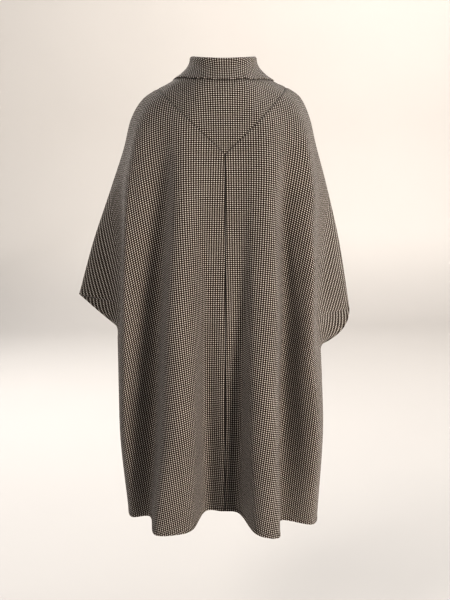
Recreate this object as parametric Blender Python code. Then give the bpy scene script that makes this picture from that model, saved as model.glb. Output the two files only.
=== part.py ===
"""Cape coat with batwing sleeves, a V-shaped back yoke and a turned-down collar.

Metres, +Z up, the front faces -Y, and the wearer's left is +X.
The origin is in the middle of the neck opening, level with the collar's lower edge.
"""
import math

import bmesh
import bpy
import numpy as np

# Driving dimensions
MM = 0.001
WALL = 0.0024
SEAM_GAP = 0.0003
YOKE_POINT_Z = -0.166
YOKE_RISE = 0.95
CUFF_OPEN = 0.020
LAP = 0.020
LAP_GAP = 0.0012
LAP_SHARES = (1.0, 0.5)
HEM_DIP = 0.012
STAND_HEIGHT = 0.026
STAND_LEAN = 0.012
END_ACROSS = 0.2
ROLL_RADIUS = 0.0062
ROLL_STEPS = 6
FALL_STEPS = 5
FALL_DROP = 0.35
POINT_ACROSS = 0.8
TINT = (0.125, 0.105, 0.088, 1.0)
ROUGHNESS = 0.9

# Heights of each section at the centre back and the centre front, and how far out it lies there
SECTION_COLUMNS = ("name", "back_z", "front_z", "back_y", "front_y")
SECTIONS = (
    ("neck", 0.012, -0.060, 0.078, -0.076),
    ("collar", -0.020, -0.085, 0.100, -0.092),
    ("half shoulder", -0.078, -0.120, 0.116, -0.106),
    ("shoulder tip", -0.135, -0.165, 0.127, -0.121),
    ("shoulder side", -0.185, -0.210, 0.133, -0.131),
    ("upper arm", -0.235, -0.255, 0.137, -0.138),
    ("arm", -0.305, -0.315, 0.141, -0.143),
    ("elbow", -0.410, -0.415, 0.146, -0.150),
    ("cuff corner", -0.530, -0.535, 0.148, -0.155),
    ("cuff foot", -0.580, -0.585, 0.147, -0.156),
    ("underarm", -0.635, -0.635, 0.146, -0.157),
    ("hip", -0.810, -0.815, 0.144, -0.160),
    ("hem", -1.030, -1.058, 0.131, -0.163),
)

# The side edge: its fold over the arm, the cuff from corner to underarm, then the side seam
EDGE_COLUMNS = ("left_x", "right_x", "left_z", "right_z", "back_y", "front_y")
EDGES = (
    (0.080, 0.080, 0.016, 0.016, 0.003, 0.003),
    (0.105, 0.105, 0.002, 0.002, 0.001, 0.001),
    (0.131, 0.131, -0.014, -0.011, -0.001, -0.001),
    (0.181, 0.184, -0.046, -0.040, -0.008, -0.008),
    (0.212, 0.211, -0.096, -0.090, -0.014, -0.014),
    (0.229, 0.229, -0.160, -0.155, -0.020, -0.020),
    (0.262, 0.261, -0.255, -0.260, -0.030, -0.030),
    (0.309, 0.299, -0.385, -0.400, -0.045, -0.045),
    (0.350, 0.330, -0.523, -0.553, -0.060, -0.060),
    (0.292, 0.297, -0.562, -0.610, -0.008, -0.096),
    (0.243, 0.230, -0.605, -0.660, -0.012, -0.012),
    (0.243, 0.233, -0.815, -0.815, -0.012, -0.012),
    (0.230, 0.236, -1.064, -1.080, -0.010, -0.010),
)

# Folds of the back and the front, a row for each section, in millimetres
FOLD_COLUMNS = ("floor_x", "floor_y", "brow_x", "brow_y", "crest_x", "crest_y", "fold_x", "fold_y",
                "valley_x", "valley_y", "ridge_x", "ridge_y", "tuck_x", "tuck_y")
BACK_FOLDS = (
    (18, 77, 27, 74, 36, 70, 46, 64, 54, 57, 68, 37, 76, 20),
    (24, 98, 37, 95, 48, 91, 61, 83, 71, 74, 90, 47, 100, 24),
    (30, 114, 47, 111, 62, 107, 77, 98, 90, 88, 114, 55, 125, 28),
    (36, 127, 63, 125, 88, 121, 107, 111, 121, 99, 158, 60, 173, 28),
    (39, 134, 66, 136, 92, 134, 112, 123, 131, 106, 188, 66, 203, 29),
    (41, 139, 68, 145, 94, 146, 113, 135, 134, 107, 204, 80, 219, 32),
    (42, 143, 70, 154, 96, 159, 115, 148, 139, 107, 218, 96, 236, 34),
    (43, 145, 72, 166, 101, 174, 123, 163, 147, 108, 228, 110, 240, 35),
    (43, 144, 74, 177, 106, 189, 131, 177, 155, 108, 234, 117, 246, 33),
    (43, 143, 75, 181, 107, 194, 134, 181, 158, 108, 235, 118, 249, 33),
    (43, 141, 76, 186, 109, 199, 137, 185, 161, 108, 236, 118, 253, 34),
    (43, 132, 77, 199, 113, 214, 146, 198, 170, 109, 240, 118, 252, 34),
    (43, 121, 79, 200, 118, 215, 170, 208, 183, 114, 226, 110, 235, 33),
)
FRONT_FOLDS = (
    (20, -73, 30, -70, 38, -66, 48, -59, 56, -51, 69, -30, 76, -14),
    (26, -89, 39, -86, 50, -83, 62, -76, 73, -67, 91, -42, 100, -21),
    (32, -104, 49, -101, 64, -97, 78, -89, 91, -79, 115, -50, 125, -28),
    (40, -120, 65, -118, 88, -114, 107, -105, 122, -94, 159, -60, 174, -40),
    (42, -131, 70, -130, 96, -127, 118, -117, 135, -103, 187, -70, 204, -50),
    (44, -139, 73, -139, 100, -137, 124, -127, 145, -108, 206, -79, 220, -59),
    (46, -145, 76, -149, 103, -147, 129, -137, 153, -106, 226, -96, 241, -69),
    (48, -153, 79, -160, 107, -161, 136, -150, 161, -107, 240, -110, 268, -91),
    (50, -159, 81, -170, 110, -173, 142, -162, 167, -108, 247, -118, 280, -104),
    (50, -160, 81, -173, 111, -177, 144, -165, 169, -108, 249, -116, 266, -90),
    (51, -160, 82, -177, 112, -181, 147, -169, 171, -108, 250, -110, 252, -52),
    (54, -160, 85, -187, 114, -193, 155, -182, 177, -110, 246, -108, 248, -50),
    (57, -161, 87, -197, 116, -205, 164, -196, 184, -114, 230, -104, 235, -46),
)

# The two sides, and which way each lies
SIDES = (("left", 1.0), ("right", -1.0))

# How far the right back's folds lie from the left's, in millimetres,
# from the shoulder tip down to the hem
SHIFT_COLUMNS = ("section",) + FOLD_COLUMNS
RIGHT_SHIFTS = (
    (3, 0, 0, 0, 0, 0, 0, 0, 0, 0, 0, 0, 0, 0, 0),
    (5, -2, 0, -4, 0, 0, 0, 2, 0, 8, -2, -10, 14, -4, 2),
    (8, -6, 4, -14, 3, -16, 0, -16, 2, -12, -1, -30, 18, -12, 0),
    (10, -8, 6, -18, 4, -20, 4, -22, 4, -20, 0, -32, 22, -10, 10),
    (11, -10, 10, -19, 6, -22, 6, -30, 8, -30, 4, -22, 28, -3, 20),
    (12, -12, 14, -15, 19, -24, 19, -48, 16, -48, 23, -12, 36, 3, 30),
)

# The collar fall's lower edge: the section that it lies over, and how far out it is from the cloth
FALL_COLUMNS = ("place", "section", "lift")
FALL_EDGE = (
    ("back", 0.58, 0.011),
    ("side", 1.32, 0.0036),
    ("front", 1.60, 0.010),
)

# Where a section's control points lie between the centre's height and the side edge's height
HEIGHT_SHARES = (0.0, 0.05, 0.15, 0.25, 0.36, 0.46, 0.80, 0.92, 1.0)
BROW, CREST, FOLD, EDGE = 2, 3, 4, 8

# Columns of the panels: how many spans lie between one control point and the next
BACK_SPANS = (2, 2, 2, 2, 3, 4, 2, 3)
FRONT_SPANS = (2, 2, 2, 2, 3, 3, 2, 3)

# Rows of the panels, as sections: the yoke's own share, then the rows below it
YOKE_ROWS = 8
STRAIGHT_FROM = 6
CORNER, UNDERARM, HEM = 8, 10, 12
LOWER_ROWS = tuple(np.concatenate((
    np.linspace(2.7, STRAIGHT_FROM, 8)[:-1],
    np.linspace(STRAIGHT_FROM, UNDERARM, 13)[:-1],
    np.linspace(UNDERARM, HEM, 11),
)))

# Finite differences and bisection
SMALL_STEP = 0.02
HALVINGS = 40


def column(table, names, name):
    """One named column of a table, as an array."""
    index = names.index(name)
    return np.array([row[index] for row in table], dtype=float)


def smooth_run(values, at, first=0, last=None):
    """Monotone cubic through values at whole-numbered sections, read at the sections in at."""
    values = values[first:last]
    steps = np.diff(values)
    slopes = np.zeros(len(values))
    slopes[0] = steps[0]
    slopes[-1] = steps[-1]
    same_way = steps[:-1] * steps[1:] > 0
    pair_sum = np.where(same_way, steps[:-1] + steps[1:], 1.0)
    slopes[1:-1] = np.where(same_way, 2.0 * steps[:-1] * steps[1:] / pair_sum, 0.0)
    place = np.clip(at - first, 0.0, len(values) - 1.0)
    low = np.minimum(place.astype(int), len(values) - 2)
    f = place - low
    rise = f * f * (3.0 - 2.0 * f)
    start_bend = f * (1.0 - f) ** 2
    end_bend = f * f * (f - 1.0)
    level = values[low] + rise * (values[low + 1] - values[low])
    return level + start_bend * slopes[low] + end_bend * slopes[low + 1]


def edge_run(values, at):
    """The side edge's run: over the arm, round the cuff in one curve, then down the side seam."""
    arm = smooth_run(values, at, 0, CORNER + 1)
    seam = smooth_run(values, at, UNDERARM, HEM + 1)
    corner, foot, underarm = values[CORNER:UNDERARM + 1]
    f = (at - CORNER) / (UNDERARM - CORNER)
    bow = 4.0 * foot - 2.0 * (corner + underarm)
    cuff = corner + (underarm - corner) * f + bow * f * (1.0 - f)
    return np.where(at <= CORNER, arm, np.where(at >= UNDERARM, seam, cuff))


def control_points(side, face, at):
    """Control points of the sections in at, from the centre of the face out to the side edge."""
    name = side[0]
    folds = BACK_FOLDS if face == "back" else FRONT_FOLDS
    centre_z = smooth_run(column(SECTIONS, SECTION_COLUMNS, face + "_z"), at)
    centre_y = smooth_run(column(SECTIONS, SECTION_COLUMNS, face + "_y"), at)
    edge_z = edge_run(column(EDGES, EDGE_COLUMNS, name + "_z"), at)
    points = np.zeros((len(at), len(HEIGHT_SHARES), 3))
    points[:, 0, 1] = centre_y
    shifted = name == "right" and face == "back"
    known = column(RIGHT_SHIFTS, SHIFT_COLUMNS, "section")
    for place, label in enumerate(FOLD_COLUMNS):
        run = smooth_run(column(folds, FOLD_COLUMNS, label), at)
        if shifted:
            run = run + np.interp(at, known, column(RIGHT_SHIFTS, SHIFT_COLUMNS, label))
        points[:, 1 + place // 2, place % 2] = run * MM
    points[:, EDGE, 0] = edge_run(column(EDGES, EDGE_COLUMNS, name + "_x"), at)
    points[:, EDGE, 1] = edge_run(column(EDGES, EDGE_COLUMNS, face + "_y"), at)
    points[:, :, 2] = centre_z[:, None] + (edge_z - centre_z)[:, None] * np.array(HEIGHT_SHARES)
    points[:, BROW:FOLD + 1, 2] -= HEM_DIP * np.clip(at - HEM + 1.0, 0.0, 1.0)[:, None]
    return points


def with_ends(side, face, at):
    """Control points with one more at each end: the mirrored floor, and the other face's tuck."""
    points = control_points(side, face, at)
    other = control_points(side, "front" if face == "back" else "back", at)
    before = points[:, 1] * np.array((-1.0, 1.0, 1.0))
    straight_on = 2.0 * points[:, EDGE] - points[:, EDGE - 1]
    cuff_gap = np.linalg.norm(points[:, EDGE] - other[:, EDGE], axis=1)
    openness = np.clip(cuff_gap / CUFF_OPEN, 0.0, 1.0)[:, None]
    after = other[:, EDGE - 1] * (1.0 - openness) + straight_on * openness
    return np.concatenate((before[:, None], points, after[:, None]), axis=1)


def surface(side, face, across, along):
    """Points of the cloth's outer face. across counts control points, along counts sections."""
    across = np.asarray(across, dtype=float)
    along = np.asarray(along, dtype=float)
    points = with_ends(side, face, along)
    gaps = np.sqrt(np.linalg.norm(np.diff(points, axis=1), axis=2))[:, :, None]
    speeds = np.diff(points, axis=1) / gaps
    tangents = (speeds[:, 1:] * gaps[:, :-1] + speeds[:, :-1] * gaps[:, 1:])
    tangents = tangents / (gaps[:, 1:] + gaps[:, :-1])
    rows = np.arange(len(along))
    low = np.clip(np.floor(across).astype(int), 0, EDGE - 1)
    f = (across - low)[:, None]
    start = points[rows, low + 1]
    end = points[rows, low + 2]
    length = gaps[rows, low + 1]
    rise = f * f * (3.0 - 2.0 * f)
    bend = f * (1.0 - f) ** 2 * tangents[rows, low] - f * f * (1.0 - f) * tangents[rows, low + 1]
    result = start + rise * (end - start) + bend * length
    result[:, 0] *= side[1]
    return result


def normals(side, face, across, along):
    """Unit outward normals: no sideways part at the centre, and none fore and aft at the edge."""
    ahead = surface(side, face, np.minimum(across + SMALL_STEP, EDGE), along)
    behind = surface(side, face, np.maximum(across - SMALL_STEP, 0.0), along)
    below = surface(side, face, across, np.minimum(along + SMALL_STEP, HEM))
    above = surface(side, face, across, np.maximum(along - SMALL_STEP, 0.0))
    normal = np.cross(ahead - behind, above - below)
    outward = side[1] if face == "back" else -side[1]
    normal = -normal * outward
    normal[across <= 0.0, 0] = 0.0
    on_fold = (across >= EDGE) & ((along <= CORNER) | (along >= UNDERARM))
    normal[on_fold, 1] = 0.0
    return normal / np.linalg.norm(normal, axis=1)[:, None]


def columns_of(spans):
    """Places across a face: each span between control points cut into equal steps."""
    places = [0.0]
    for index, count in enumerate(spans):
        places += [index + (step + 1) / count for step in range(count)]
    return np.array(places)


def yoke_line(side, across):
    """The sections at which the V seam crosses the given places across the back."""
    low = np.zeros(len(across))
    high = np.full(len(across), STRAIGHT_FROM)
    for _ in range(HALVINGS):
        middle = 0.5 * (low + high)
        point = surface(side, "back", across, middle)
        above_seam = point[:, 2] > YOKE_POINT_Z + YOKE_RISE * np.abs(point[:, 0])
        low = np.where(above_seam, middle, low)
        high = np.where(above_seam, high, middle)
    return 0.5 * (low + high)


def lower_rows(seam):
    """Sections of the rows below the V seam, one list for each column, starting at the seam."""
    rows = np.array(LOWER_ROWS)
    share = np.clip((STRAIGHT_FROM - rows) / (STRAIGHT_FROM - rows[0]), 0.0, 1.0)
    return rows[:, None] + (seam[None, :] - rows[0]) * share[:, None]


def along_step(side, face, across, along, distance):
    """How many sections a distance down the cloth is, at the given places."""
    run = surface(side, face, across, along + SMALL_STEP) - surface(side, face, across, along)
    return distance * SMALL_STEP / np.linalg.norm(run, axis=1)


def sheet(side, face, across, along):
    """Outer points and normals of a panel, from a grid of rows by columns."""
    shape = along.shape
    flat_across = np.broadcast_to(across, shape).ravel()
    points = surface(side, face, flat_across, along.ravel()).reshape(shape + (3,))
    normal = normals(side, face, flat_across, along.ravel()).reshape(shape + (3,))
    return points, normal


def material(name):
    """The node's own cloth material."""
    made = bpy.data.materials.new(name)
    made.use_nodes = True
    shader = made.node_tree.nodes["Principled BSDF"]
    shader.inputs["Base Color"].default_value = TINT
    shader.inputs["Roughness"].default_value = ROUGHNESS
    shader.inputs["Metallic"].default_value = 0.0
    return made


def cloth_solid(name, outer, inner):
    """A closed wall between two grids of points with the same rows and columns."""
    rows, columns = outer.shape[:2]
    mesh = bmesh.new()
    top, under = ([[mesh.verts.new(point) for point in row] for row in grid] for grid in (outer, inner))
    for i in range(rows - 1):
        for j in range(columns - 1):
            mesh.faces.new((top[i][j], top[i + 1][j], top[i + 1][j + 1], top[i][j + 1]))
            mesh.faces.new((under[i][j], under[i][j + 1], under[i + 1][j + 1], under[i + 1][j]))
    rim = [(0, j) for j in range(columns - 1)]
    rim += [(i, columns - 1) for i in range(rows - 1)]
    rim += [(rows - 1, j) for j in range(columns - 1, 0, -1)]
    rim += [(i, 0) for i in range(rows - 1, 0, -1)]
    for (i, j), (k, m) in zip(rim, rim[1:] + rim[:1]):
        mesh.faces.new((top[i][j], top[k][m], under[k][m], under[i][j]))
    bmesh.ops.triangulate(mesh, faces=mesh.faces[:])
    bmesh.ops.recalc_face_normals(mesh, faces=mesh.faces[:])
    data = bpy.data.meshes.new(name)
    mesh.to_mesh(data)
    mesh.free()
    made = bpy.data.objects.new(name, data)
    made.data.materials.append(material(name))
    bpy.context.scene.collection.objects.link(made)
    return made


def back_panel(side):
    """A lower back with its half of the batwing sleeve, from the V seam to the hem and cuff."""
    across = columns_of(BACK_SPANS)
    seam = yoke_line(side, across)
    along = lower_rows(seam + along_step(side, "back", across, seam, SEAM_GAP / 2))
    points, normal = sheet(side, "back", across, along)
    points[:, 0, 0] += side[1] * SEAM_GAP / 2
    points[:, -1, 1] += SEAM_GAP / 2
    cloth_solid("back_" + side[0], points, points - WALL * normal)


def yoke_half(side):
    """Outer points and normals of one side of the yoke."""
    across = columns_of(BACK_SPANS)
    seam = yoke_line(side, across)
    seam = seam - along_step(side, "back", across, seam, SEAM_GAP / 2)
    along = np.linspace(0.0, 1.0, YOKE_ROWS)[:, None] * seam[None, :]
    points, normal = sheet(side, "back", across, along)
    points[:, -1, 1] += SEAM_GAP / 2
    return points, normal


def back_yoke():
    """The yoke, both sides in one piece."""
    left, right = (yoke_half(side) for side in SIDES)
    points = np.concatenate((left[0][:, ::-1], right[0][:, 1:]), axis=1)
    normal = np.concatenate((left[1][:, ::-1], right[1][:, 1:]), axis=1)
    cloth_solid("back_yoke", points, points - WALL * normal)


def front_rows(side):
    """Sections of the front's rows: at the side edge they are those of the yoke and the back."""
    edge = np.array([float(EDGE)])
    seam = yoke_line(side, edge)
    yoke = np.linspace(0.0, 1.0, YOKE_ROWS) * seam[0]
    return np.concatenate((yoke[:-1], lower_rows(seam)[:, 0]))


def front_panel(side, other, inside):
    """A front that runs past the centre by LAP. The one inside steps in behind the other."""
    across = columns_of(FRONT_SPANS)
    rows = front_rows(side)
    along = np.repeat(rows[:, None], len(across), axis=1)
    points, normal = sheet(side, "front", across, along)
    floor_x = smooth_run(column(FRONT_FOLDS, FOLD_COLUMNS, "floor_x"), rows) * MM
    lap_across = (LAP / floor_x)[:, None] * np.array(LAP_SHARES)
    lap, lap_normal = sheet(other, "front", lap_across, along[:, :len(LAP_SHARES)])
    points[:, -1, 1] -= SEAM_GAP / 2
    points = np.concatenate((lap, points), axis=1)
    normal = np.concatenate((lap_normal, normal), axis=1)
    if inside:
        step_in = np.clip(CREST - across, 0.0, 1.0)
        step_in = np.concatenate((np.ones(len(LAP_SHARES)), step_in))
        points = points - normal * ((WALL + LAP_GAP) * step_in)[:, None]
    cloth_solid("front_" + side[0], points, points - WALL * normal)


def round_neck(back_section, side_section, front_section, front):
    """Points and normals round the neck, from the left front over the back to the right front."""
    runs = []
    back = columns_of(BACK_SPANS)
    back_along = back_section + (side_section - back_section) * (back / EDGE) ** 2
    front_along = front_section + (side_section - front_section) * (front / EDGE) ** 2
    for side in SIDES:
        over = surface(side, "back", back, back_along)
        under = surface(side, "front", front, front_along)
        points = np.concatenate((over, under[-2::-1]))
        facing = np.concatenate((normals(side, "back", back, back_along),
                                 normals(side, "front", front, front_along)[-2::-1]))
        runs.append((points, facing))
    left, right = runs
    return [np.concatenate((a[::-1], b[1:])) for a, b in zip(left, right)]


def fall_edge():
    """The lower edge of the collar's fall: points of the cloth below it, moved out."""
    sections = column(FALL_EDGE, FALL_COLUMNS, "section")
    back_lift, side_lift, front_lift = column(FALL_EDGE, FALL_COLUMNS, "lift")
    front = POINT_ACROSS + columns_of(FRONT_SPANS) * (1.0 - POINT_ACROSS / EDGE)
    points, facing = round_neck(*sections, front)
    sideways = np.abs(facing[:, :1])
    middle_lift = np.where(points[:, 1:2] > 0.0, back_lift, front_lift)
    return points + facing * (middle_lift + (side_lift - middle_lift) * sideways)


def collar_pieces():
    """The stand on the neckline, and the fall that rolls over its top edge."""
    ring, _ = round_neck(0.0, 0.0, 0.0, np.maximum(columns_of(FRONT_SPANS), END_ACROSS))
    run = np.gradient(ring, axis=0)
    outward = np.stack((run[:, 1], -run[:, 0], np.zeros(len(run))), axis=1)
    outward = outward / np.linalg.norm(outward, axis=1)[:, None]
    up = np.array((0.0, 0.0, 1.0))
    foot = ring + up * SEAM_GAP
    top = foot + up * STAND_HEIGHT - outward * STAND_LEAN
    stand = np.stack((foot, 0.5 * (foot + top), top))
    cloth_solid("collar_stand", stand, stand - outward * WALL)
    centre = top + up * SEAM_GAP + outward * (ROLL_RADIUS - WALL)
    outer = []
    inner = []
    for angle in np.linspace(math.pi, 0.0, ROLL_STEPS + 1):
        spoke = outward * math.cos(angle) + up * math.sin(angle)
        outer.append(centre + spoke * ROLL_RADIUS)
        inner.append(centre + spoke * (ROLL_RADIUS - WALL))
    begin = outer[-1]
    end = fall_edge()
    bend = begin + up * (end[:, 2:] - begin[:, 2:]) * FALL_DROP
    for share in np.linspace(0.0, 1.0, FALL_STEPS + 1)[1:]:
        points = begin * (1 - share) ** 2 + bend * 2 * share * (1 - share) + end * share ** 2
        down = (bend - begin) * (1 - share) + (end - bend) * share
        facing = np.cross(down, np.gradient(points, axis=0))
        facing = facing / np.linalg.norm(facing, axis=1)[:, None]
        facing *= np.sign((facing * outward).sum(axis=1))[:, None]
        outer.append(points)
        inner.append(points - WALL * facing)
    cloth_solid("collar_fall", np.stack(outer), np.stack(inner))


def main():
    """Clear the scene and make every piece."""
    for old in list(bpy.data.objects):
        bpy.data.objects.remove(old)
    for side in SIDES:
        back_panel(side)
    back_yoke()
    left, right = SIDES
    front_panel(left, right, inside=True)
    front_panel(right, left, inside=False)
    collar_pieces()


main()
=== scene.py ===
# %% [markdown]
# # A cape coat in dogtooth wool
#
# The coat is cut from seven pieces of cloth: two backs with half a wide sleeve each, a yoke with a
# V-shaped lower edge, two fronts, and a collar in two parts, the stand and the fall. The frame
# already holds a plain solid for each. Here every solid is replaced by a finer sheet of cloth in
# the same place, so the frame's box is kept from the start.

# %% Load the frame
import math

import bpy
import numpy as np
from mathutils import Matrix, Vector


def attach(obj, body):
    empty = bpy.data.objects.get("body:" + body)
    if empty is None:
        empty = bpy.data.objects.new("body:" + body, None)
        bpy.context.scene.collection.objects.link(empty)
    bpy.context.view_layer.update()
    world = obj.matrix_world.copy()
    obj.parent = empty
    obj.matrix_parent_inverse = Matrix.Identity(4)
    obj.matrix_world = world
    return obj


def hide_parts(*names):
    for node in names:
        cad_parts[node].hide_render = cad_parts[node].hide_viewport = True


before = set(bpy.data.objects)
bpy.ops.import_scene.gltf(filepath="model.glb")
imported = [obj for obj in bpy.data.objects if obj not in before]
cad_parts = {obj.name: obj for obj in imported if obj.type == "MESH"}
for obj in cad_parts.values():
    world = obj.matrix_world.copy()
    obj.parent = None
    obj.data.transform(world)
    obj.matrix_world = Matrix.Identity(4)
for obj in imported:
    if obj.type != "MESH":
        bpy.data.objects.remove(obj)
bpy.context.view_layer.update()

# %% [markdown]
# ## The draft of the coat
#
# A tailor drafts a garment as a few measured lines. Ours are thirteen sections, from the neck down
# to the hem, and nine points on each half of a section: the centre, the floor beside it, the brow,
# crest and far shoulder of the big flute, the valley, the ridge over the arm, the tuck and the
# edge. Sculpting could give the same folds, but tables can be read, checked and changed, and they
# keep the cloth close to the frame's own shape. Sizes are in metres, those of folds in millimetres.

# %% Sections and side edges
SECTION_COLUMNS = ("name", "back_z", "front_z", "back_y", "front_y")
SECTIONS = (
    ("neck", 0.012, -0.060, 0.078, -0.076),
    ("collar", -0.020, -0.085, 0.100, -0.092),
    ("half shoulder", -0.078, -0.120, 0.116, -0.106),
    ("shoulder tip", -0.135, -0.165, 0.127, -0.121),
    ("shoulder side", -0.185, -0.210, 0.133, -0.131),
    ("upper arm", -0.235, -0.255, 0.137, -0.138),
    ("arm", -0.305, -0.315, 0.141, -0.143),
    ("elbow", -0.410, -0.415, 0.146, -0.150),
    ("cuff corner", -0.530, -0.535, 0.148, -0.155),
    ("cuff foot", -0.580, -0.585, 0.147, -0.156),
    ("underarm", -0.635, -0.635, 0.146, -0.157),
    ("hip", -0.810, -0.815, 0.144, -0.160),
    ("hem", -1.030, -1.058, 0.131, -0.163),
)
EDGE_COLUMNS = ("left_x", "right_x", "left_z", "right_z", "back_y", "front_y")
EDGES = (
    (0.080, 0.080, 0.016, 0.016, 0.003, 0.003),
    (0.098, 0.101, 0.002, 0.002, 0.001, 0.001),
    (0.126, 0.129, -0.014, -0.011, -0.001, -0.001),
    (0.181, 0.184, -0.046, -0.040, -0.008, -0.008),
    (0.212, 0.211, -0.096, -0.090, -0.014, -0.014),
    (0.229, 0.229, -0.160, -0.155, -0.020, -0.020),
    (0.262, 0.261, -0.255, -0.260, -0.030, -0.030),
    (0.309, 0.299, -0.385, -0.400, -0.045, -0.045),
    (0.350, 0.331, -0.523, -0.564, -0.060, -0.060),
    (0.292, 0.303, -0.562, -0.615, -0.008, -0.096),
    (0.243, 0.230, -0.605, -0.660, -0.012, -0.012),
    (0.243, 0.233, -0.815, -0.815, -0.012, -0.012),
    (0.230, 0.236, -1.050, -1.072, -0.010, -0.010),
)
SIDES = (("left", 1.0), ("right", -1.0))
STRAIGHT_FROM, CORNER, UNDERARM, HEM = 6, 8, 10, 12
print(len(SECTIONS), "sections,", SECTIONS[0][0], "to", SECTIONS[-1][0])

# %% Folds of the back and the front
MM = 0.001
FOLD_COLUMNS = ("floor_x", "floor_y", "brow_x", "brow_y", "crest_x", "crest_y", "fold_x", "fold_y",
                "valley_x", "valley_y", "ridge_x", "ridge_y", "tuck_x", "tuck_y")
BACK_FOLDS = (
    (18, 77, 27, 74, 36, 70, 46, 64, 54, 57, 68, 37, 76, 20),
    (24, 98, 37, 95, 48, 91, 61, 83, 71, 74, 90, 47, 100, 24),
    (30, 114, 47, 111, 62, 107, 77, 98, 90, 88, 114, 55, 125, 28),
    (36, 127, 63, 125, 88, 121, 107, 111, 121, 99, 158, 60, 173, 28),
    (39, 134, 66, 136, 92, 134, 112, 123, 131, 106, 188, 66, 203, 29),
    (41, 139, 68, 145, 94, 146, 113, 135, 134, 107, 204, 80, 219, 32),
    (42, 143, 70, 154, 96, 159, 115, 148, 139, 107, 218, 96, 236, 34),
    (43, 145, 72, 166, 101, 174, 123, 163, 147, 108, 228, 110, 240, 35),
    (43, 144, 74, 177, 106, 189, 131, 177, 155, 108, 234, 117, 246, 33),
    (43, 143, 75, 181, 107, 194, 134, 181, 158, 108, 235, 118, 249, 33),
    (43, 141, 76, 186, 109, 199, 137, 185, 161, 108, 236, 118, 253, 34),
    (43, 132, 77, 199, 113, 214, 146, 198, 170, 109, 240, 118, 252, 34),
    (43, 121, 85, 200, 120, 214, 170, 206, 183, 126, 226, 112, 235, 33),
)
FRONT_FOLDS = (
    (20, -73, 30, -70, 38, -66, 48, -59, 56, -51, 69, -30, 76, -14),
    (26, -89, 39, -86, 50, -83, 62, -76, 73, -67, 91, -42, 100, -21),
    (32, -104, 49, -101, 64, -97, 78, -89, 91, -79, 115, -50, 125, -28),
    (40, -120, 65, -118, 88, -114, 107, -105, 122, -94, 159, -60, 174, -40),
    (42, -131, 70, -130, 96, -127, 118, -117, 135, -103, 187, -70, 204, -50),
    (44, -139, 73, -139, 100, -137, 124, -127, 145, -108, 206, -79, 220, -59),
    (46, -145, 76, -149, 103, -147, 129, -137, 153, -106, 226, -96, 241, -69),
    (48, -153, 79, -160, 107, -161, 136, -150, 161, -107, 240, -110, 268, -91),
    (50, -159, 81, -170, 110, -173, 142, -162, 167, -108, 247, -118, 280, -104),
    (50, -160, 81, -173, 111, -177, 144, -165, 169, -108, 249, -116, 266, -90),
    (51, -160, 82, -177, 112, -181, 147, -169, 171, -108, 250, -110, 252, -52),
    (54, -160, 85, -187, 114, -193, 155, -182, 177, -110, 246, -108, 248, -50),
    (57, -161, 87, -197, 116, -205, 164, -196, 184, -114, 230, -104, 235, -46),
)
SHIFT_COLUMNS = ("section",) + FOLD_COLUMNS
RIGHT_SHIFTS = (
    (3, 0, 0, 0, 0, 0, 0, 0, 0, 0, 0, 0, 0, 0, 0),
    (5, -2, 0, -4, 0, 0, 0, 2, 0, 8, -2, -10, 14, -4, 2),
    (8, -6, 4, -14, 3, -16, 0, -16, 2, -12, -1, -30, 18, -12, 0),
    (10, -8, 6, -18, 4, -20, 4, -22, 4, -20, 0, -32, 22, -10, 10),
    (11, -10, 10, -19, 6, -22, 6, -30, 8, -30, 4, -22, 28, -3, 20),
    (12, -12, 14, -18, 19, -26, 20, -48, 18, -48, 25, -12, 36, 3, 30),
)
HEIGHT_SHARES = (0.0, 0.05, 0.15, 0.25, 0.36, 0.46, 0.80, 0.92, 1.0)
BROW, CREST, FOLD, EDGE = 2, 3, 4, 8
HEM_DIP = 0.012
CUFF_OPEN = 0.020
print(len(BACK_FOLDS), "rows of back folds,", len(FRONT_FOLDS), "rows of front folds")

# %% [markdown]
# Between the tables' lines the cloth has to run smoothly. Down the coat each column of numbers is
# joined by a monotone cubic, which never swings past its own points. Across the coat the points are
# joined by a centripetal spline, the kind that makes no loops where points are close together.


# %% Smooth runs down the coat
def column(table, names, name):
    """One named column of a table, as an array."""
    index = names.index(name)
    return np.array([row[index] for row in table], dtype=float)


def smooth_run(values, at, first=0, last=None):
    """Monotone cubic through values at whole-numbered sections, read at the sections in at."""
    values = values[first:last]
    steps = np.diff(values)
    slopes = np.zeros(len(values))
    slopes[0] = steps[0]
    slopes[-1] = steps[-1]
    same_way = steps[:-1] * steps[1:] > 0
    pair_sum = np.where(same_way, steps[:-1] + steps[1:], 1.0)
    slopes[1:-1] = np.where(same_way, 2.0 * steps[:-1] * steps[1:] / pair_sum, 0.0)
    place = np.clip(at - first, 0.0, len(values) - 1.0)
    low = np.minimum(place.astype(int), len(values) - 2)
    f = place - low
    level = values[low] + f * f * (3.0 - 2.0 * f) * (values[low + 1] - values[low])
    return level + f * (1.0 - f) ** 2 * slopes[low] + f * f * (f - 1.0) * slopes[low + 1]


def edge_run(values, at):
    """The side edge's run: over the arm, round the cuff in one curve, then down the side seam."""
    arm = smooth_run(values, at, 0, CORNER + 1)
    seam = smooth_run(values, at, UNDERARM, HEM + 1)
    corner, foot, underarm = values[CORNER:UNDERARM + 1]
    f = (at - CORNER) / (UNDERARM - CORNER)
    bow = 4.0 * foot - 2.0 * corner - 2.0 * underarm
    cuff = corner + (underarm - corner) * f + bow * f * (1.0 - f)
    return np.where(at <= CORNER, arm, np.where(at >= UNDERARM, seam, cuff))


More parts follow.
